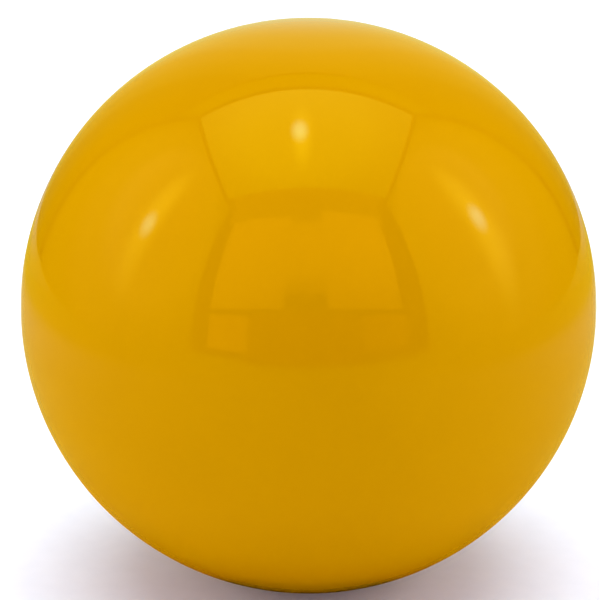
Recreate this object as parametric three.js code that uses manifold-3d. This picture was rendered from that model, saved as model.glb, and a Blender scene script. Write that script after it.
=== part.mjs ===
// The number 1 ball of a pool set: a solid yellow cast-resin ball with a white number roundel let into
// each of two opposite sides and a black numeral let into each roundel. Millimetres, +Z up. The origin is
// the ball's centre, and the roundels' common axis is X. Looking along +Y, the right-hand numeral stands
// upright and the left-hand one is upside down, as the two numbers of a pool ball do.
//
// Each piece is a solid of its own. The pieces' outer faces all lie on the one sphere, and a thin bond
// line parts each inlay from the pocket that holds it.
import * as THREE from "three";
import { mergeVertices } from "three/addons/utils/BufferGeometryUtils.js";
import Module from "manifold-3d";

const wasm = await Module();
wasm.setup();

// Driving dimensions
const BALL_DIAMETER = 57.15; // a full-size pool ball, 2 1/4 in
const ROUNDEL_DIAMETER = 15;
const ROUNDEL_DEPTH = 5; // from the crown of the ball down to the roundel's flat back
const NUMERAL_DEPTH = 2; // from the crown of the ball down to the numeral's flat back
const NUMERAL_HEIGHT = 8.4;
const BOND_LINE = 0.1; // resin film between an inlay and its pocket

// The strokes of the numeral. The flag slopes down to the left from the top of the stem.
const STEM_WIDTH = 2.1;
const FOOT_WIDTH = 5;
const FOOT_HEIGHT = 1.3;
const FLAG_REACH = 1.8; // from the stem's left side out to the flag's tip
const FLAG_START = 0.5; // from the stem's middle line left to the top of the flag's slope
const FLAG_ROOT_DROP = 2.1; // from the numeral's top down to where the flag's underside meets the stem
const TIP_TOP_DROP = 1.7; // from the numeral's top down to the upper corner of the flag's tip
const TIP_FOOT_DROP = 2.9; // from the numeral's top down to the lower corner of the flag's tip
const SOFT_CORNER = 0.3;
const CRISP_CORNER = 0.15;

// Facets
const TURNS = 64; // facets round the roundels' axis
const BALL_STEPS = 32; // facets along the ball's profile, from one pocket's mouth to the other
const CROWN_STEPS = 5; // facets from a roundel's edge to its crown
const CORNER_STEPS = 4; // facets on each rounded corner of the numeral

// Worked out from these
const BALL_RADIUS = BALL_DIAMETER / 2;
const ROUNDEL_RADIUS = ROUNDEL_DIAMETER / 2;
const ROUNDEL_BACK = BALL_RADIUS - ROUNDEL_DEPTH;
const POCKET_RADIUS = ROUNDEL_RADIUS + BOND_LINE;
const POCKET_FLOOR = ROUNDEL_BACK - BOND_LINE;
const NUMERAL_BACK = BALL_RADIUS - NUMERAL_DEPTH;
const RECESS_FLOOR = NUMERAL_BACK - BOND_LINE;
const CLEAR_OF_BALL = BALL_RADIUS + 1; // a numeral's prism ends here, outside the ball, and is trimmed

const WELD = 1e-4; // vertices closer than this become one

const YELLOW_RESIN = { color: 0xdda402, roughness: 0.08, metalness: 0 };
const WHITE_RESIN = { color: 0xf1ece0, roughness: 0.08, metalness: 0 };
const BLACK_RESIN = { color: 0x141414, roughness: 0.08, metalness: 0 };

// The angle off the roundels' axis at which the sphere has the given radius about that axis.
function angleAtRadius(radius) {
  return Math.asin(radius / BALL_RADIUS);
}

// Points on the ball's profile between two angles off the axis, as (radius, distance along the axis).
function ballArc(fromAngle, toAngle, steps) {
  const points = [];
  for (let i = 0; i <= steps; i++) {
    const angle = THREE.MathUtils.lerp(fromAngle, toAngle, i / steps);
    points.push(new THREE.Vector2(BALL_RADIUS * Math.sin(angle), BALL_RADIUS * Math.cos(angle)));
  }
  return points;
}

// A closed profile of (radius, distance along the axis), turned about the X axis.
function turned(profile) {
  return new THREE.LatheGeometry(profile, TURNS).rotateZ(-Math.PI / 2);
}

// The yellow casting: the whole ball, with a flat-bottomed pocket in each end of the roundels' axis.
function bodyGeometry() {
  const mouth = angleAtRadius(POCKET_RADIUS);
  return turned([
    new THREE.Vector2(0, -POCKET_FLOOR),
    new THREE.Vector2(POCKET_RADIUS, -POCKET_FLOOR),
    ...ballArc(Math.PI - mouth, mouth, BALL_STEPS),
    new THREE.Vector2(POCKET_RADIUS, POCKET_FLOOR),
    new THREE.Vector2(0, POCKET_FLOOR),
  ]);
}

// The roundel before it is cut for its numeral: a round plug whose outer face is part of the ball.
function plugGeometry() {
  return turned([
    new THREE.Vector2(0, ROUNDEL_BACK),
    new THREE.Vector2(ROUNDEL_RADIUS, ROUNDEL_BACK),
    ...ballArc(angleAtRadius(ROUNDEL_RADIUS), 0, CROWN_STEPS),
  ]);
}

// The point at the given distance from one corner along the side to the next.
function alongSide(from, to, distance) {
  return new THREE.Vector2().subVectors(to, from).setLength(distance).add(from);
}

// An outline through these corners, each rounded by its own radius. A corner is [x, y, radius].
function roundedOutline(corners) {
  const points = corners.map(([x, y]) => new THREE.Vector2(x, y));
  const shape = new THREE.Shape();
  corners.forEach(([x, y, radius], i) => {
    const entry = alongSide(points[i], points.at(i - 1), radius);
    const exit = alongSide(points[i], points[(i + 1) % points.length], radius);
    if (i === 0) shape.moveTo(entry.x, entry.y);
    else shape.lineTo(entry.x, entry.y);
    shape.quadraticCurveTo(x, y, exit.x, exit.y);
  });
  shape.closePath();
  return shape;
}

// The numeral 1, its stem on the middle line: a straight stem on a flat foot, with a flag at the top left.
function numeralShape() {
  const top = NUMERAL_HEIGHT / 2;
  const stem = STEM_WIDTH / 2;
  const foot = FOOT_WIDTH / 2;
  const footTop = FOOT_HEIGHT - top;
  const flagTip = -stem - FLAG_REACH;
  return roundedOutline([
    [foot, -top, CRISP_CORNER],
    [foot, footTop, CRISP_CORNER],
    [stem, footTop, SOFT_CORNER],
    [stem, top, CRISP_CORNER],
    [-FLAG_START, top, SOFT_CORNER],
    [flagTip, top - TIP_TOP_DROP, CRISP_CORNER],
    [flagTip, top - TIP_FOOT_DROP, CRISP_CORNER],
    [-stem, top - FLAG_ROOT_DROP, SOFT_CORNER],
    [-stem, footTop, SOFT_CORNER],
    [-foot, footTop, CRISP_CORNER],
    [-foot, -top, CRISP_CORNER],
  ]);
}

// The numeral's outline, grown by a margin, run from its back out past the ball's surface along +X.
// It reads correctly to someone who faces the +X side of the ball with +Z up.
function numeralPrism(back, margin) {
  const towardsX = new THREE.Matrix4().makeBasis(
    new THREE.Vector3(0, 1, 0),
    new THREE.Vector3(0, 0, 1),
    new THREE.Vector3(1, 0, 0),
  );
  return new THREE.ExtrudeGeometry(numeralShape(), {
    depth: CLEAR_OF_BALL - back,
    curveSegments: CORNER_STEPS,
    bevelEnabled: margin > 0,
    bevelSegments: 0,
    bevelThickness: 0,
    bevelSize: 0,
    bevelOffset: margin,
  })
    .translate(0, 0, back)
    .applyMatrix4(towardsX);
}

// A closed three.js geometry as a manifold-3d solid.
function solidOf(geometry) {
  const bare = geometry.clone().deleteAttribute("normal").deleteAttribute("uv");
  const merged = mergeVertices(bare, WELD);
  return new wasm.Manifold(
    new wasm.Mesh({
      numProp: 3,
      vertProperties: merged.attributes.position.array,
      triVerts: new Uint32Array(merged.index.array),
    }),
  );
}

// A manifold-3d solid as a flat-shaded three.js geometry.
function geometryOf(solid) {
  const mesh = solid.getMesh();
  const indexed = new THREE.BufferGeometry()
    .setAttribute("position", new THREE.BufferAttribute(mesh.vertProperties, mesh.numProp))
    .setIndex(new THREE.BufferAttribute(mesh.triVerts, 1));
  const faceted = indexed.toNonIndexed();
  faceted.computeVertexNormals();
  return faceted;
}

function piece(name, geometry, material) {
  const mesh = new THREE.Mesh(geometry, new THREE.MeshStandardMaterial(material));
  mesh.name = name;
  return mesh;
}

// A roundel and its numeral, for the side of the ball that the group is turned to.
function inlay(side, turnAboutY, roundel, numeral) {
  const group = new THREE.Group();
  group.rotation.y = turnAboutY;
  group.add(
    piece(`${side}_roundel`, roundel, WHITE_RESIN),
    piece(`${side}_numeral`, numeral, BLACK_RESIN),
  );
  return group;
}

const plug = solidOf(plugGeometry());
const roundel = geometryOf(plug.subtract(solidOf(numeralPrism(RECESS_FLOOR, BOND_LINE))));
const numeral = geometryOf(plug.intersect(solidOf(numeralPrism(NUMERAL_BACK, 0))));

const ball = new THREE.Group();
ball.add(
  piece("ball_body", bodyGeometry(), YELLOW_RESIN),
  inlay("right", 0, roundel, numeral),
  inlay("left", Math.PI, roundel, numeral),
);

export default ball;
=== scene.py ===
"""The number 1 pool ball, seen from its plain side in a white light tent. Metres, +Z up.

The ball's outer surface is one true sphere, shared by the yellow body, a white roundel at each end of the
X axis and a black numeral in each roundel. Every piece has exact spherical normals there, so that the
inlays lie flush in the gloss.
"""
import math

import bmesh
import bpy
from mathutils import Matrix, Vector
from mathutils.geometry import delaunay_2d_cdt


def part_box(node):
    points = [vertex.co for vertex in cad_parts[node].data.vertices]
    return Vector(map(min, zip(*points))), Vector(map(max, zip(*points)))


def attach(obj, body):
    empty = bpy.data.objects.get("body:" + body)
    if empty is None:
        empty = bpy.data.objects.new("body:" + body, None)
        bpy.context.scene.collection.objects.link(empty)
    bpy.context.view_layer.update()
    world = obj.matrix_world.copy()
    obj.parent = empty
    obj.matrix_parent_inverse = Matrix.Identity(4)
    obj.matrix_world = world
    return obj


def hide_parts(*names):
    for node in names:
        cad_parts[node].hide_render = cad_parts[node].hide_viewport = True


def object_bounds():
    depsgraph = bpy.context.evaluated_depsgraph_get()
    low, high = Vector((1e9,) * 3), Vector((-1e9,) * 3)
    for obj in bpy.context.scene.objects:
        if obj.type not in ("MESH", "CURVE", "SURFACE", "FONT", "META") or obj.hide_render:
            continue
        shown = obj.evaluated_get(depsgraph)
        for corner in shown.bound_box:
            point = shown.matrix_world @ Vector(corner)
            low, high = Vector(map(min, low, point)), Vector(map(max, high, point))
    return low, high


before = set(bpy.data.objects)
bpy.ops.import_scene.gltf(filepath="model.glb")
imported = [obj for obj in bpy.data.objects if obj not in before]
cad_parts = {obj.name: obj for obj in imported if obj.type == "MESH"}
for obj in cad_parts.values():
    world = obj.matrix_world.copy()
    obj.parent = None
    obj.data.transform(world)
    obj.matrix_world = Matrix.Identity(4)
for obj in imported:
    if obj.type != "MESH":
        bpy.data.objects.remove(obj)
cad_low, cad_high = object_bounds()

MM = 0.001
CENTRE = (cad_low + cad_high) / 2
RADIUS = (cad_high.x - cad_low.x) / 2
FLOOR = cad_low.z

# The inlays, from their CAD boxes
roundel_low, roundel_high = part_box("right_roundel")
numeral_low, numeral_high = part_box("right_numeral")
ROUNDEL_RADIUS = (roundel_high.y - roundel_low.y) / 2
ROUNDEL_BACK = roundel_low.x
NUMERAL_BACK = numeral_low.x
NUMERAL_TOP = numeral_high.z

# The strokes of the numeral. The flag slopes down to the left from the top of the stem.
STEM_WIDTH = 2.1 * MM
FOOT_WIDTH = 5 * MM
FOOT_HEIGHT = 1.3 * MM
FLAG_REACH = 1.8 * MM
FLAG_START = 0.5 * MM
FLAG_ROOT_DROP = 2.1 * MM
TIP_TOP_DROP = 1.7 * MM
TIP_FOOT_DROP = 2.9 * MM
SOFT_CORNER = 0.3 * MM
CRISP_CORNER = 0.15 * MM

# Mesh fineness
TURNS = 256  # round the roundels' axis
BALL_STEPS = 160  # along the ball's profile, from one pocket's mouth to the other
CORNER_STEPS = 8  # on each rounded corner of the numeral
DOME_SPACING = 0.4 * MM  # between points on a roundel's outer face
WELD = 1e-7  # points closer than this become one
SPHERE_TOLERANCE = 1e-6  # a point this near the ball's sphere counts as on it
NET_TOLERANCE = 1e-9  # for the net of triangles over a roundel's disc

# The resins. A noise has about this many features in a metre.
CLOUD_SCALE = 70
FLECK_SCALE = 2600
FLECK_STRENGTH = 0.3
FLECK_RANGE = (0.5, 0.9)  # the part of the noise that shows as flecks
HAIRLINE_SCALE = (160, 4200, 4200)  # far finer across a hairline than along it
HAIRLINE_TURNS = ((0.3, 0.2, 0.9), (0.1, 1.1, 2.3))  # the two ways in which the hairlines run
HAIRLINE_RANGE = (0.15, 0.4)  # what the two noises come to when multiplied
HAIRLINE_DEPTH = 0.02 * MM
HAIRLINE_STRENGTH = 0.02
BRIGHTEST_POLISH = 0.025
DULLEST_POLISH = 0.05
RESIN_IOR = 1.55

# The view: a long lens, close up, a little above the ball
CAMERA_ELEVATION = math.radians(17)
CAMERA_DISTANCE = 5.5 * RADIUS
NEAR_CLIP = 0.1 * RADIUS
BALL_SHARE = 0.96  # of the picture's width
BALL_RIGHT = 0.0142  # of the picture's middle, as a share of its width
BALL_DOWN = 0.0092
SENSOR = 36

# The floor and the backdrop, in metres
FLOOR_HALF = 3.0
FLOOR_PALE = (0.83, 0.84, 0.88)
FLOOR_GRAIN = (0.81, 0.82, 0.86)
FLOOR_GRAIN_SCALE = 500
FLOOR_ROUGHNESS = 0.9
BACKDROP_RADIUS = 2.9
BACKDROP_HEIGHT = 3.0

# The light. Lamp places and sizes are in ball radii, from the ball's centre.
SKY_LIGHT = (0.81, 0.93, 1.05)
FRONT_LIGHT = (0.58, 0.4, 0.7)
SUN_POWER = 2.15
SUN_SPREAD = math.radians(60)
SUN_COLOUR = (1, 1.06, 1.05)
SOFTBOX_WIDTH = 7
SOFTBOX_HEIGHT = 9
LEFT_SOFTBOX = (-11, -3, 2.5)
LEFT_SOFTBOX_POWER = 0.37
RIGHT_SOFTBOX = (10.5, -1.8, 4)
RIGHT_SOFTBOX_POWER = 0.33

# The light tent that the ball's gloss mirrors, in ball radii from the ball's centre
TENT_LEFT = -11.7
TENT_RIGHT = 11.2
TENT_FRONT = -13.2
TENT_BACK_FOOT = 10.3
TENT_BACK_TOP = 5.8
TENT_TOP = 19.1
TENT_FLOOR = -1.0

# How its cloths meet
SEAM = 0.35  # the gap along the edge between two cloths
WIDE_SEAM = 0.6
SEAM_BEHIND = 1.0  # from a cloth out to the dark panel that shows in the gap
NARROW_SEAM = 0.1  # under the side walls, and between lengths of the skirt
LAYER = 0.1  # from the tent's front in to a cloth that hangs inside it
RIGHT_WALL_BACK = 1.0  # the right wall starts this much farther back than the left one

# Its back, which leans forward to a rail near the top
BACK_CLOTH_TOP = 14.8
BACK_CLOTH_BEHIND = 1.0  # from the rail's top back to the cloth's upper edge
RAIL_FOOT = 15.3
RAIL_FOOT_BEHIND = 0.9

# Its front: a header over two flaps, with a skirt below them and the camera in the opening
HEADER_FOOT = 15.0
HEADER_BACK = -10.8  # the header runs back over the top as far as this
HEADER_INSET = 1.0  # from the tent's side in to the header's edge
OPENING_LEFT = -2.0
OPENING_RIGHT = 1.6
OPENING_FOOT = 5.0
FLAP_FOOT = 3.7
LEFT_FLAP_TOP = 15.5
RIGHT_FLAP_TOP = 16.5
LEFT_INSET = 1.9  # from the tent's left side in to the left flap and the skirt
RIGHT_FLAP_INSET = 2.0
RIGHT_SKIRT_INSET = 1.5
CAMERA_LEFT = -2.2
CAMERA_RIGHT = 1.3
CAMERA_TOP = 5.1
SKIRT_TOP = 3.1
LEFT_SKIRT_FOOT = -0.2
RIGHT_SKIRT_FOOT = 0.0
SHADED_LEFT = -5.2  # the shaded middle length of the skirt
SHADED_RIGHT = 4.6
HEM_HEIGHT = 0.05
HEM_BACK = -10.9

# Its floor as the gloss sees it, a painted reflection in two layers: one all round, and one near the back
# wall that lies over it
GLOSS_FLOOR_HALF = 105
GLOSS_FLOOR_DROP = 0.002
FAR_FLOOR_RISE = 0.02
FAR_FLOOR_DEPTH = 5
CONTACT_SHADE = (0, -0.19, TENT_FLOOR)  # the middle of the floor's darkest spot

# Shades of cloth: (distance, colour), nearest first. A distance is in ball radii, or in longer steps along
# an axis where the cloth's reach is longer.
TOP_CLOTH = [
    (0, (2.2, 1.8, 0.35)),
    (5, (2.0, 1.7, 0.3)),
    (12, (1.2, 1.0, 0.15)),
]
SIDE_CLOTH = [
    (0, (1.6, 0.95, 0.3)),
    (6, (1.45, 0.95, 0.25)),
    (8.5, (0.9, 0.65, 0.05)),
    (12, (0.62, 0.43, 0.0)),
    (16.5, (0.48, 0.3, 0.0)),
]
FLAP_CLOTH = [
    (0, (2.1, 1.0, 0.6)),
    (5, (1.8, 0.86, 0.5)),
    (9, (1.2, 0.53, 0.25)),
]
OPENING = [
    (0, (1.9, 0.9, 0.5)),
    (3, (1.7, 0.83, 0.4)),
    (5, (0.8, 0.37, 0.15)),
]
CAMERA_BODY = [(0, (0.0, 0.0, 0.0))]
RAIL_CLOTH = [(0, (0.62, 0.48, 0.0))]
HEADER_CLOTH = [(0, (0.75, 0.36, 0.15))]
PALE_SKIRT = [(0, (1.4, 0.53, 0.3))]
SHADED_SKIRT = [(0, (0.3, 0.05, 0.05))]
DULL_SKIRT = [(0, (0.7, 0.22, 0.1))]
SEAM_CLOTH = [(0, (0.15, 0.03, 0.0))]
BACK_CLOTH = [
    (0, (0.82, 0.83, 0.46)),
    (2.5, (0.84, 0.73, 0.2)),
    (4, (0.76, 0.56, 0.09)),
    (5.5, (0.6, 0.45, 0.05)),
    (7, (0.42, 0.28, 0.02)),
    (10, (0.4, 0.25, 0.0)),
]
# The floor's painted reflection: black where the ball nearly touches it, a painted contact shadow, then
# paler farther out, with a painted yellow tint.
PAINTED_FLOOR_REFLECTION = [
    (0, (0.0, 0.0, 0.0)),
    (0.27, (0.0, 0.0, 0.0)),
    (0.4, (0.27, 0.085, 0.0)),
    (0.6, (0.43, 0.19, 0.0)),
    (1.0, (0.68, 0.36, 0.02)),
    (1.6, (0.75, 0.48, 0.05)),
    (2.6, (0.78, 0.55, 0.1)),
    (4.4, (0.79, 0.58, 0.17)),
    (6.5, (0.72, 0.54, 0.03)),
    (9, (0.68, 0.54, 0.02)),
]
# The floor's painted reflection near the back wall, less yellow nearest the wall.
FAR_PAINTED_FLOOR_REFLECTION = [
    (0, (0.6, 0.57, 0.6)),
    (5, (0.7, 0.54, 0.04)),
]
BACKDROP_WHITE = [(0, (1.0, 1.0, 1.0))]

# Glows of the lamps behind the cloth: (centre, reach along each axis, colour, strength)
LAMP_CORE = (0.1, 0.48, 2.6)
LAMP_HALO = (0.95, 0.77, 0.2)
LEFT_GLOWS = [
    ((TENT_LEFT, -3.1, 7.2), (1, 1, 1.6), LAMP_CORE, 5),
    ((TENT_LEFT, -3.1, 8.5), (1, 1.9, 8.5), LAMP_HALO, 2),
]
RIGHT_GLOWS = [
    ((TENT_RIGHT, -1.8, 6.7), (1, 1, 1.6), LAMP_CORE, 5),
    ((TENT_RIGHT, -1.8, 7), (1, 2, 8.5), LAMP_HALO, 2),
]
TOP_GLOWS = [
    ((-0.9, -1.9, TENT_TOP), (1.15, 2.2, 1), LAMP_CORE, 7),
    ((-0.7, -3, TENT_TOP), (1.5, 6, 1), LAMP_HALO, 2.2),
]

# Where each cloth's shades start from, and how far one step of distance reaches along each axis, both in
# ball radii
EVENLY = (1, 1, 1)
ENDLESS = 1000.0  # a reach so long that this axis makes no difference
SIDE_REACH = (ENDLESS, 1, 1.2)
OPENING_REACH = (ENDLESS, 1, 1)
BACK_REACH = (1, ENDLESS, 2.1)
FAR_FLOOR_REACH = (2.2, 1, 1)
SIDE_CENTRE_Y = -5
SIDE_CENTRE_Z = 10
TOP_CENTRE = (-0.9, -1.9, TENT_TOP)
BACK_CENTRE = (0, 0, 3)
LEFT_FLAP_CENTRE = (-7, TENT_FRONT + LAYER, 11)
RIGHT_FLAP_CENTRE = (6, TENT_FRONT + LAYER, 12)
OPENING_CENTRE = (0, TENT_FRONT, 10.5)
FAR_FLOOR_CENTRE = (0, TENT_BACK_FOOT, TENT_FLOOR)


# ---------------------------------------------------------------- meshes

def add_object(name, data):
    """A new object in the scene."""
    thing = bpy.data.objects.new(name, data)
    bpy.context.scene.collection.objects.link(thing)
    return thing


def on_sphere(y, z):
    """The point of the ball's right-hand half that has this y and z."""
    return Vector((math.sqrt(RADIUS**2 - y * y - z * z), y, z))


def ring(radius, x):
    """Points round the X axis, at the same turns for every ring, so that neighbours share their edges."""
    turns = [2 * math.pi * i / TURNS for i in range(TURNS)]
    return [Vector((x, radius * math.cos(t), radius * math.sin(t))) for t in turns]


def make_piece(name, points, faces):
    """A mesh object. Faces whose corners all lie on the ball's sphere get its exact normals."""
    mesh = bpy.data.meshes.new(name)
    mesh.from_pydata(points, [], faces)
    builder = bmesh.new()
    builder.from_mesh(mesh)
    bmesh.ops.remove_doubles(builder, verts=builder.verts, dist=WELD)
    bmesh.ops.recalc_face_normals(builder, faces=builder.faces)
    builder.to_mesh(mesh)
    builder.free()
    mesh.shade_smooth()
    normals = []
    for face in mesh.polygons:
        corners = [mesh.vertices[i].co for i in face.vertices]
        outer = all(abs(c.length - RADIUS) < SPHERE_TOLERANCE for c in corners)
        normals += [c.normalized() if outer else face.normal.copy() for c in corners]
    mesh.normals_split_custom_set(normals)
    return add_object(name, mesh)


def bridge(first, second, count):
    """Quads between two closed loops of points, given by the index of each loop's first point."""
    return [
        (first + i, first + (i + 1) % count, second + (i + 1) % count, second + i)
        for i in range(count)
    ]


def make_body():
    """The yellow casting: the sphere from pocket mouth to pocket mouth, and the two flat pockets."""
    mouth = math.asin(ROUNDEL_RADIUS / RADIUS)
    angles = [mouth + (math.pi - 2 * mouth) * i / BALL_STEPS for i in range(BALL_STEPS + 1)]
    outer = [ring(RADIUS * math.sin(a), RADIUS * math.cos(a)) for a in angles]
    rings = [ring(ROUNDEL_RADIUS, ROUNDEL_BACK), *outer, ring(ROUNDEL_RADIUS, -ROUNDEL_BACK)]
    points = [p for r in rings for p in r]
    faces = []
    for i in range(len(rings) - 1):
        faces += bridge(i * TURNS, (i + 1) * TURNS, TURNS)
    last = (len(rings) - 1) * TURNS
    faces.append(tuple(range(TURNS)))
    faces.append(tuple(range(last, last + TURNS)))
    return make_piece("body_resin", points, faces)


def rounded_outline(corners):
    """Points along an outline through these corners (y, z, radius), each rounded by its own radius."""
    points = [Vector((y, z)) for y, z, radius in corners]
    outline = []
    for i, (y, z, radius) in enumerate(corners):
        corner = points[i]
        entry = corner + (points[i - 1] - corner).normalized() * radius
        leave = corner + (points[(i + 1) % len(points)] - corner).normalized() * radius
        for step in range(CORNER_STEPS + 1):
            t = step / CORNER_STEPS
            outline.append(entry.lerp(corner, t).lerp(corner.lerp(leave, t), t))
    return outline


def numeral_outline():
    """The numeral 1, its stem on the middle line: a straight stem on a flat foot, flag at the top left."""
    top = NUMERAL_TOP
    stem = STEM_WIDTH / 2
    foot = FOOT_WIDTH / 2
    foot_top = FOOT_HEIGHT - top
    flag_tip = -stem - FLAG_REACH
    return rounded_outline([
        (foot, -top, CRISP_CORNER),
        (foot, foot_top, CRISP_CORNER),
        (stem, foot_top, SOFT_CORNER),
        (stem, top, CRISP_CORNER),
        (-FLAG_START, top, SOFT_CORNER),
        (flag_tip, top - TIP_TOP_DROP, CRISP_CORNER),
        (flag_tip, top - TIP_FOOT_DROP, CRISP_CORNER),
        (-stem, top - FLAG_ROOT_DROP, SOFT_CORNER),
        (-stem, foot_top, SOFT_CORNER),
        (-foot, foot_top, CRISP_CORNER),
        (-foot, -top, CRISP_CORNER),
    ])


def inside(outline, point):
    """True if a point lies inside a closed outline: a ray towards +y crosses it an odd number of times."""
    odd = False
    for i, a in enumerate(outline):
        b = outline[i - 1]
        if (a.y > point.y) != (b.y > point.y):
            crossing = a.x + (point.y - a.y) * (b.x - a.x) / (b.y - a.y)
            odd = odd != (crossing > point.x)
    return odd


def dome_grid():
    """Even points over the roundel's disc, in offset rows."""
    rows = int(ROUNDEL_RADIUS / DOME_SPACING)
    reach = ROUNDEL_RADIUS - DOME_SPACING / 2
    points = []
    for row in range(-rows, rows + 1):
        for column in range(-rows, rows + 1):
            point = Vector((column + (row % 2) / 2, row)) * DOME_SPACING
            if point.length < reach:
                points.append(point)
    return points


def used(points, faces):
    """Only the points that these faces use, with the faces numbered to match."""
    kept = sorted({i for face in faces for i in face})
    place = {old: new for new, old in enumerate(kept)}
    return [points[i] for i in kept], [tuple(place[i] for i in face) for face in faces]


def make_inlays():
    """The right-hand roundel and its numeral. They share one net of triangles over the roundel's disc."""
    rim = [p.yz for p in ring(ROUNDEL_RADIUS, 0)]
    outline = numeral_outline()
    loops = [(0, len(rim)), (len(rim), len(outline))]
    edges = [(start + i, start + (i + 1) % count) for start, count in loops for i in range(count)]
    net = delaunay_2d_cdt([*rim, *outline, *dome_grid()], edges, [], 0, NET_TOLERANCE)
    flat = net[0]
    triangles = net[2]
    dome = [on_sphere(p.x, p.y) for p in flat]
    in_numeral = [
        inside(outline, sum((flat[i] for i in t), Vector((0, 0))) / 3) for t in triangles
    ]

    numeral_floor = [Vector((NUMERAL_BACK, p.x, p.y)) for p in outline]
    outer = len(dome)
    back = outer + len(outline)
    points = [*dome, *numeral_floor, *ring(ROUNDEL_RADIUS, ROUNDEL_BACK)]
    recess_wall = bridge(len(rim), outer, len(outline))
    recess_floor = tuple(range(outer, back))
    roundel_faces = [tuple(t) for t, cut in zip(triangles, in_numeral) if not cut]
    roundel_faces += [*recess_wall, recess_floor]
    roundel_faces += [*bridge(0, back, TURNS), tuple(range(back, back + TURNS))]
    numeral_faces = [tuple(t) for t, cut in zip(triangles, in_numeral) if cut]
    numeral_faces += [*recess_wall, recess_floor]
    return [
        make_piece("roundel_resin_right", *used(points, roundel_faces)),
        make_piece("numeral_resin_right", *used(points, numeral_faces)),
    ]


def turned_copy(piece, name):
    """The same piece at the ball's other end: half a turn about the Y axis."""
    mesh = piece.data.copy()
    mesh.name = name
    normals = [Vector((-n.vector.x, n.vector.y, -n.vector.z)) for n in mesh.corner_normals]
    for vertex in mesh.vertices:
        vertex.co = (-vertex.co.x, vertex.co.y, -vertex.co.z)
    mesh.normals_split_custom_set(normals)
    return add_object(name, mesh)


# ---------------------------------------------------------------- materials

class Nodes:
    """A short way to write a node tree."""

    def __init__(self, owner):
        owner.use_nodes = True
        self.tree = owner.node_tree
        self.tree.nodes.clear()

    def add(self, kind, **settings):
        node = self.tree.nodes.new(kind)
        for key, value in settings.items():
            setattr(node, key, value)
        return node

    def link(self, source, target):
        self.tree.links.new(source, target)

    def place(self):
        return self.add("ShaderNodeTexCoord").outputs["Object"]

    def stretched(self, place, scale, turn):
        mapping = self.add("ShaderNodeMapping")
        mapping.inputs["Scale"].default_value = scale
        mapping.inputs["Rotation"].default_value = turn
        self.link(place, mapping.inputs["Vector"])
        return mapping.outputs["Vector"]

    def noise(self, place, scale, detail):
        noise = self.add("ShaderNodeTexNoise")
        noise.inputs["Scale"].default_value = scale
        noise.inputs["Detail"].default_value = detail
        self.link(place, noise.inputs["Vector"])
        return noise.outputs["Fac"]

    def spread(self, value, low, high, from_low=0.3, from_high=0.7):
        """A value moved to a new range. Most of a noise lies in the range that it is moved from."""
        ramp = self.add("ShaderNodeMapRange")
        ramp.inputs["From Min"].default_value = from_low
        ramp.inputs["From Max"].default_value = from_high
        ramp.inputs["To Min"].default_value = low
        ramp.inputs["To Max"].default_value = high
        self.link(value, ramp.inputs["Value"])
        return ramp.outputs["Result"]

    def maths(self, operation, first, second):
        node = self.add("ShaderNodeMath", operation=operation)
        for socket, value in zip(node.inputs, (first, second)):
            if isinstance(value, (int, float)):
                socket.default_value = value
            else:
                self.link(value, socket)
        return node.outputs["Value"]

    def blend(self, factor, first, second):
        mix = self.add("ShaderNodeMix", data_type="RGBA")
        self.link(factor, mix.inputs["Factor"])
        for socket, colour in ((mix.inputs[6], first), (mix.inputs[7], second)):
            if isinstance(colour, tuple):
                socket.default_value = (*colour, 1)
            else:
                self.link(colour, socket)
        return mix.outputs[2]

    def finish(self, kind, result):
        """The tree's last node, which takes the result."""
        self.link(result, self.add(kind).inputs["Surface"])


def resin(name, light, deep, fleck, tint):
    """Polished cast phenolic resin: faint clouds from the pour, fine pigment flecks, and a glassy polish
    that play has marked with hairlines too fine to see one by one."""
    material = bpy.data.materials.new(name)
    nodes = Nodes(material)
    place = nodes.place()
    clouds = nodes.spread(nodes.noise(place, CLOUD_SCALE, detail=3), 0, 1)
    flecks = nodes.spread(nodes.noise(place, FLECK_SCALE, detail=1), 0, FLECK_STRENGTH, *FLECK_RANGE)
    poured = nodes.blend(clouds, light, deep)
    colour = nodes.blend(flecks, poured, fleck)

    hairlines = [
        nodes.noise(nodes.stretched(place, HAIRLINE_SCALE, turn), scale=1, detail=2)
        for turn in HAIRLINE_TURNS
    ]
    polish = nodes.maths("MULTIPLY", *hairlines)
    roughness = nodes.spread(polish, BRIGHTEST_POLISH, DULLEST_POLISH, *HAIRLINE_RANGE)

    height = nodes.add("ShaderNodeBump")
    height.inputs["Strength"].default_value = HAIRLINE_STRENGTH
    height.inputs["Distance"].default_value = HAIRLINE_DEPTH
    nodes.link(polish, height.inputs["Height"])

    shader = nodes.add("ShaderNodeBsdfPrincipled")
    shader.inputs["IOR"].default_value = RESIN_IOR
    shader.inputs["Specular Tint"].default_value = (*tint, 1)
    nodes.link(colour, shader.inputs["Base Color"])
    nodes.link(roughness, shader.inputs["Roughness"])
    nodes.link(height.outputs["Normal"], shader.inputs["Normal"])
    nodes.finish("ShaderNodeOutputMaterial", shader.outputs["BSDF"])
    return material


def floor_card():
    """Matt pale card with a faint grain."""
    material = bpy.data.materials.new("floor")
    nodes = Nodes(material)
    grain = nodes.spread(nodes.noise(nodes.place(), FLOOR_GRAIN_SCALE, detail=3), 0, 1)
    shader = nodes.add("ShaderNodeBsdfPrincipled")
    nodes.link(nodes.blend(grain, FLOOR_GRAIN, FLOOR_PALE), shader.inputs["Base Color"])
    shader.inputs["Roughness"].default_value = FLOOR_ROUGHNESS
    shader.inputs["Specular IOR Level"].default_value = 0
    nodes.finish("ShaderNodeOutputMaterial", shader.outputs["BSDF"])
    return material


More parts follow.
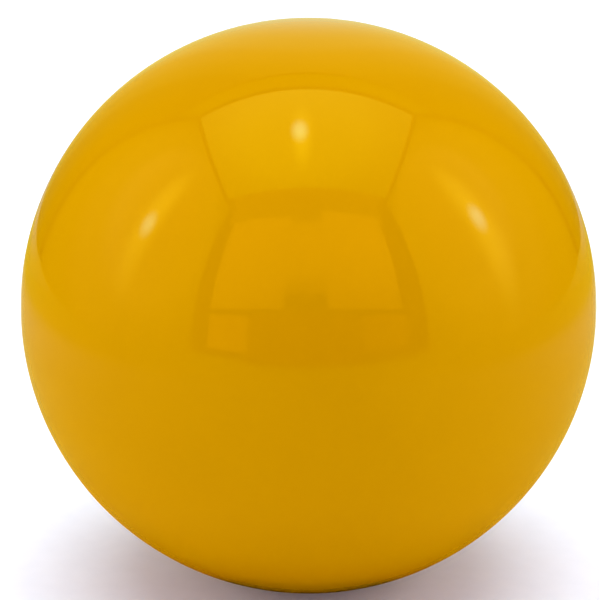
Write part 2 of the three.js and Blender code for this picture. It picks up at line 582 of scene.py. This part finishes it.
def away(nodes, centre, reach):
    """Distance from a centre, measured in the reach given for each axis. Both are in ball radii."""
    shift = nodes.add("ShaderNodeVectorMath", operation="SUBTRACT")
    shift.inputs[1].default_value = Vector(centre) * RADIUS
    nodes.link(nodes.place(), shift.inputs[0])
    shrink = nodes.add("ShaderNodeVectorMath", operation="DIVIDE")
    shrink.inputs[1].default_value = Vector(reach) * RADIUS
    nodes.link(shift.outputs["Vector"], shrink.inputs[0])
    length = nodes.add("ShaderNodeVectorMath", operation="LENGTH")
    nodes.link(shrink.outputs["Vector"], length.inputs[0])
    return length.outputs["Value"]


def shaded(nodes, distance, shades):
    """A colour that follows a distance along these shades."""
    nearest = shades[0][0]
    farthest = shades[-1][0]
    share = nodes.spread(distance, 0, 1, nearest, farthest)
    ramp = nodes.add("ShaderNodeValToRGB")
    ramp.color_ramp.interpolation = "EASE"
    stops = ramp.color_ramp.elements  # two to start with
    for i, (at, colour) in enumerate(shades):
        stop = stops[i] if i < len(stops) else stops.new(1)
        stop.position = (at - nearest) / (farthest - nearest)
        stop.color = (*colour, 1)
    nodes.link(share, ramp.inputs["Fac"])
    return ramp.outputs["Color"]


def lit_cloth(name, shades, centre=None, reach=EVENLY, glows=()):
    """White cloth lit from outside, with a soft glow wherever a lamp stands close behind it. Cloth of one
    shade needs no centre."""
    material = bpy.data.materials.new(name)
    nodes = Nodes(material)
    cloth = nodes.add("ShaderNodeEmission")
    if centre is None:
        cloth.inputs["Color"].default_value = (*shades[0][1], 1)
    else:
        nodes.link(shaded(nodes, away(nodes, centre, reach), shades), cloth.inputs["Color"])
    light = cloth.outputs["Emission"]
    for glow_centre, glow_reach, colour, strength in glows:
        distance = away(nodes, glow_centre, glow_reach)
        squared = nodes.maths("MULTIPLY", distance, distance)
        near = nodes.spread(squared, low=1, high=0, from_low=0, from_high=1)
        glow = nodes.add("ShaderNodeEmission")
        glow.inputs["Color"].default_value = (*colour, 1)
        fading = nodes.maths("MULTIPLY", nodes.maths("MULTIPLY", near, near), strength)
        nodes.link(fading, glow.inputs["Strength"])
        both = nodes.add("ShaderNodeAddShader")
        nodes.link(light, both.inputs[0])
        nodes.link(glow.outputs["Emission"], both.inputs[1])
        light = both.outputs["Shader"]
    nodes.finish("ShaderNodeOutputMaterial", light)
    return material


# ---------------------------------------------------------------- the set

def stage_mesh(name, points, faces, material, unseen_by):
    """A mesh of the set, left out of the rays named."""
    mesh = bpy.data.meshes.new(name)
    mesh.from_pydata(points, [], faces)
    mesh.materials.append(material)
    thing = add_object(name, mesh)
    for ray in unseen_by:
        setattr(thing, f"visible_{ray}", False)


def gloss_panel(name, corners, *cloth):
    """A panel that shows in the ball's gloss and nowhere else. Corners are in ball radii."""
    points = [Vector(c) * RADIUS for c in corners]
    unseen_by = ("camera", "diffuse", "shadow", "transmission")
    stage_mesh(name, points, [tuple(range(len(points)))], lit_cloth(name, *cloth), unseen_by)


def upright(y, left, right, foot, top):
    """The corners of a panel that faces the ball from in front or behind."""
    return [(left, y, foot), (right, y, foot), (right, y, top), (left, y, top)]


def side(x, front, back, foot, top, back_top):
    """The corners of a panel that faces the ball from the left or the right."""
    return [(x, front, foot), (x, back, foot), (x, back_top, top), (x, front, top)]


def level(z, left, right, front, back):
    """The corners of a panel that lies level."""
    return [(left, front, z), (right, front, z), (right, back, z), (left, back, z)]


def leaning(front, back, foot, top):
    """The corners of a panel as wide as the tent, which leans forward from its foot to its top."""
    left = TENT_LEFT + SEAM
    right = TENT_RIGHT - SEAM
    return [(left, back, foot), (right, back, foot), (right, front, top), (left, front, top)]


def make_tent_walls():
    """The two sides and the top, each with the glow of its lamp, and the back with its rail."""
    foot = TENT_FLOOR + NARROW_SEAM
    top = TENT_TOP - SEAM
    left_front = TENT_FRONT + WIDE_SEAM
    right_front = left_front + RIGHT_WALL_BACK
    back = TENT_BACK_FOOT - WIDE_SEAM
    back_top = TENT_BACK_TOP - WIDE_SEAM
    gloss_panel(
        "tent_left", side(TENT_LEFT, left_front, back, foot, top, back_top),
        SIDE_CLOTH, (TENT_LEFT, SIDE_CENTRE_Y, SIDE_CENTRE_Z), SIDE_REACH, LEFT_GLOWS,
    )
    gloss_panel(
        "tent_right", side(TENT_RIGHT, right_front, back, foot, top, back_top),
        SIDE_CLOTH, (TENT_RIGHT, SIDE_CENTRE_Y, SIDE_CENTRE_Z), SIDE_REACH, RIGHT_GLOWS,
    )
    gloss_panel(
        "tent_top", level(TENT_TOP, TENT_LEFT + SEAM, TENT_RIGHT - SEAM, HEADER_BACK, back_top),
        TOP_CLOTH, TOP_CENTRE, EVENLY, TOP_GLOWS,
    )
    gloss_panel(
        "tent_back",
        leaning(TENT_BACK_TOP + BACK_CLOTH_BEHIND, TENT_BACK_FOOT, TENT_FLOOR, BACK_CLOTH_TOP),
        BACK_CLOTH, BACK_CENTRE, BACK_REACH,
    )
    gloss_panel(
        "tent_back_rail", leaning(TENT_BACK_TOP, TENT_BACK_TOP + RAIL_FOOT_BEHIND, RAIL_FOOT, top),
        RAIL_CLOTH,
    )


def make_header():
    """The strip over the opening, which runs back over the top."""
    left = TENT_LEFT + HEADER_INSET
    right = TENT_RIGHT - HEADER_INSET
    gloss_panel("header", upright(TENT_FRONT, left, right, HEADER_FOOT, TENT_TOP), HEADER_CLOTH)
    gloss_panel("header_top", level(TENT_TOP, left, right, TENT_FRONT, HEADER_BACK), HEADER_CLOTH)


def make_flaps():
    """The two flaps, the opening between them, and the camera that looks in over the skirt."""
    near = TENT_FRONT + LAYER
    left = TENT_LEFT + LEFT_INSET
    right = TENT_RIGHT - RIGHT_FLAP_INSET
    gloss_panel(
        "flap_left", upright(near, left, OPENING_LEFT, FLAP_FOOT, LEFT_FLAP_TOP),
        FLAP_CLOTH, LEFT_FLAP_CENTRE,
    )
    gloss_panel(
        "flap_right", upright(near, OPENING_RIGHT, right, FLAP_FOOT, RIGHT_FLAP_TOP),
        FLAP_CLOTH, RIGHT_FLAP_CENTRE,
    )
    gloss_panel(
        "opening", upright(TENT_FRONT, OPENING_LEFT, OPENING_RIGHT, OPENING_FOOT, HEADER_FOOT),
        OPENING, OPENING_CENTRE, OPENING_REACH,
    )
    gloss_panel(
        "camera_body", upright(near, CAMERA_LEFT, CAMERA_RIGHT, FLAP_FOOT, CAMERA_TOP),
        CAMERA_BODY,
    )


def make_skirt():
    """The strip below the flaps, in three lengths, and its dark hem on the floor."""
    left = TENT_LEFT + LEFT_INSET
    right = TENT_RIGHT - RIGHT_SKIRT_INSET
    lengths = [
        ("skirt_left", left, SHADED_LEFT - NARROW_SEAM, LEFT_SKIRT_FOOT, PALE_SKIRT),
        ("skirt_middle", SHADED_LEFT, SHADED_RIGHT, TENT_FLOOR, SHADED_SKIRT),
        ("skirt_right", SHADED_RIGHT + NARROW_SEAM, right, RIGHT_SKIRT_FOOT, DULL_SKIRT),
    ]
    for name, start, end, foot, cloth in lengths:
        gloss_panel(name, upright(TENT_FRONT, start, end, foot, SKIRT_TOP), cloth)
    hem = level(TENT_FLOOR + HEM_HEIGHT, SHADED_LEFT, right, TENT_FRONT, HEM_BACK)
    gloss_panel("skirt_hem", hem, SEAM_CLOTH)


def make_seams():
    """Dark panels just outside the tent, which show as seams in the gaps between its cloths."""
    left = TENT_LEFT - SEAM_BEHIND
    right = TENT_RIGHT + SEAM_BEHIND
    front = TENT_FRONT - SEAM_BEHIND
    back = TENT_BACK_FOOT + SEAM_BEHIND
    top = TENT_TOP + SEAM_BEHIND
    floor = TENT_FLOOR - SEAM_BEHIND
    panels = [
        ("seam_left", side(left, front, back, floor, top, back)),
        ("seam_right", side(right, front, back, floor, top, back)),
        ("seam_top", level(top, left, right, front, back)),
        ("seam_front", upright(front, left, right, floor, top)),
        ("seam_back", upright(back, left, right, floor, top)),
    ]
    for name, corners in panels:
        gloss_panel(name, corners, SEAM_CLOTH)


def make_tent_floor():
    """The floor as the gloss sees it: a painted contact shadow where the ball nearly touches it, paler
    farther out.
    """
    near = TENT_FLOOR - GLOSS_FLOOR_DROP
    far = TENT_FLOOR + FAR_FLOOR_RISE
    gloss_panel(
        "floor_gloss",
        level(near, -GLOSS_FLOOR_HALF, GLOSS_FLOOR_HALF, -GLOSS_FLOOR_HALF, GLOSS_FLOOR_HALF),
        PAINTED_FLOOR_REFLECTION, CONTACT_SHADE,
    )
    gloss_panel(
        "far_floor_gloss",
        level(far, TENT_LEFT, TENT_RIGHT, TENT_BACK_FOOT - FAR_FLOOR_DEPTH, TENT_BACK_FOOT),
        FAR_PAINTED_FLOOR_REFLECTION, FAR_FLOOR_CENTRE, FAR_FLOOR_REACH,
    )


def make_tent():
    """A cube tent of white cloth, lit from the left, the right and above, open in front between flaps."""
    make_tent_walls()
    make_header()
    make_flaps()
    make_skirt()
    make_seams()
    make_tent_floor()


def softbox(name, place, power):
    """A soft lamp that faces the ball and stays out of its gloss, where the tent's glows stand for it."""
    data = bpy.data.lights.new(name, "AREA")
    data.shape = "RECTANGLE"
    data.size = SOFTBOX_WIDTH * RADIUS
    data.size_y = SOFTBOX_HEIGHT * RADIUS
    data.energy = power
    lamp = add_object(name, data)
    lamp.location = Vector(place) * RADIUS
    lamp.rotation_euler = (CENTRE - lamp.location).to_track_quat("-Z", "Y").to_euler()
    lamp.visible_glossy = False
    lamp.visible_camera = False


def make_sun():
    """The broad soft light from above."""
    data = bpy.data.lights.new("lamp_top", "SUN")
    data.energy = SUN_POWER
    data.angle = SUN_SPREAD
    data.color = SUN_COLOUR
    add_object("lamp_top", data).visible_glossy = False


def make_floor():
    """A wide pale table top under the ball. The gloss sees a painted reflection of the floor in its place.
    """
    half = FLOOR_HALF
    corners = [(-half, -half, FLOOR), (half, -half, FLOOR), (half, half, FLOOR), (-half, half, FLOOR)]
    stage_mesh("floor", corners, [(0, 1, 2, 3)], floor_card(), ["glossy"])


def make_backdrop():
    """A plain white wall far off all round, which only the camera sees. It hides the floor's edge."""
    turns = [2 * math.pi * i / TURNS for i in range(TURNS)]
    points = [
        (BACKDROP_RADIUS * math.cos(turn), BACKDROP_RADIUS * math.sin(turn), z)
        for z in (FLOOR, FLOOR + BACKDROP_HEIGHT)
        for turn in turns
    ]
    unseen_by = ("diffuse", "glossy", "shadow", "transmission")
    stage_mesh(
        "backdrop", points, bridge(0, TURNS, TURNS), lit_cloth("backdrop", BACKDROP_WHITE), unseen_by,
    )


def make_world():
    """Soft light from all round, dimmer and faintly violet from in front, where the tent is open."""
    world = bpy.data.worlds.new("world")
    bpy.context.scene.world = world
    nodes = Nodes(world)
    split = nodes.add("ShaderNodeSeparateXYZ")
    nodes.link(nodes.add("ShaderNodeTexCoord").outputs["Generated"], split.inputs["Vector"])
    front = nodes.spread(split.outputs["Y"], low=1, high=0, from_low=-1, from_high=0)
    sky = nodes.add("ShaderNodeBackground")
    nodes.link(nodes.blend(front, SKY_LIGHT, FRONT_LIGHT), sky.inputs["Color"])
    nodes.finish("ShaderNodeOutputWorld", sky.outputs["Background"])


def make_camera():
    """Aimed at the ball's centre, and shifted so that the ball sits a little right of and below the
    middle of the picture."""
    data = bpy.data.cameras.new("camera")
    limb = math.tan(math.asin(RADIUS / CAMERA_DISTANCE))
    data.sensor_width = SENSOR
    data.lens = SENSOR / 2 * BALL_SHARE / limb
    data.shift_x = -BALL_RIGHT
    data.shift_y = BALL_DOWN
    data.clip_start = NEAR_CLIP
    camera = add_object("camera", data)
    back = Vector((0, -math.cos(CAMERA_ELEVATION), math.sin(CAMERA_ELEVATION)))
    camera.location = CENTRE + back * CAMERA_DISTANCE
    camera.rotation_euler = (-back).to_track_quat("-Z", "Y").to_euler()
    bpy.context.scene.camera = camera


# ---------------------------------------------------------------- the ball

YELLOW = resin(
    "yellow_resin",
    light=(0.527, 0.241, 0.0),
    deep=(0.512, 0.231, 0.0),
    fleck=(0.542, 0.253, 0.0),
    tint=(1.0, 1.0, 0.02),
)
WHITE = resin(
    "white_resin",
    light=(0.69, 0.66, 0.57),
    deep=(0.66, 0.63, 0.54),
    fleck=(0.73, 0.7, 0.62),
    tint=(1.0, 1.0, 1.0),
)
BLACK = resin(
    "black_resin",
    light=(0.01, 0.01, 0.012),
    deep=(0.013, 0.013, 0.015),
    fleck=(0.02, 0.02, 0.022),
    tint=(0.45, 0.7, 1.0),
)


def finish_piece(piece, node, material):
    """Gives a piece its resin, sets it under the root body, and hides the CAD node that it stands in for.
    """
    piece.data.materials.append(material)
    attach(piece, "root")
    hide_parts(node)


make_camera()
make_world()
make_floor()
make_backdrop()
make_tent()
softbox("lamp_left", LEFT_SOFTBOX, LEFT_SOFTBOX_POWER)
softbox("lamp_right", RIGHT_SOFTBOX, RIGHT_SOFTBOX_POWER)
make_sun()

body = make_body()
right_roundel, right_numeral = make_inlays()
left_roundel = turned_copy(right_roundel, "roundel_resin_left")
left_numeral = turned_copy(right_numeral, "numeral_resin_left")
finish_piece(body, "ball_body", YELLOW)
finish_piece(right_roundel, "right_roundel", WHITE)
finish_piece(left_roundel, "left_roundel", WHITE)
finish_piece(right_numeral, "right_numeral", BLACK)
finish_piece(left_numeral, "left_numeral", BLACK)

bpy.context.scene.view_settings.view_transform = "Standard"
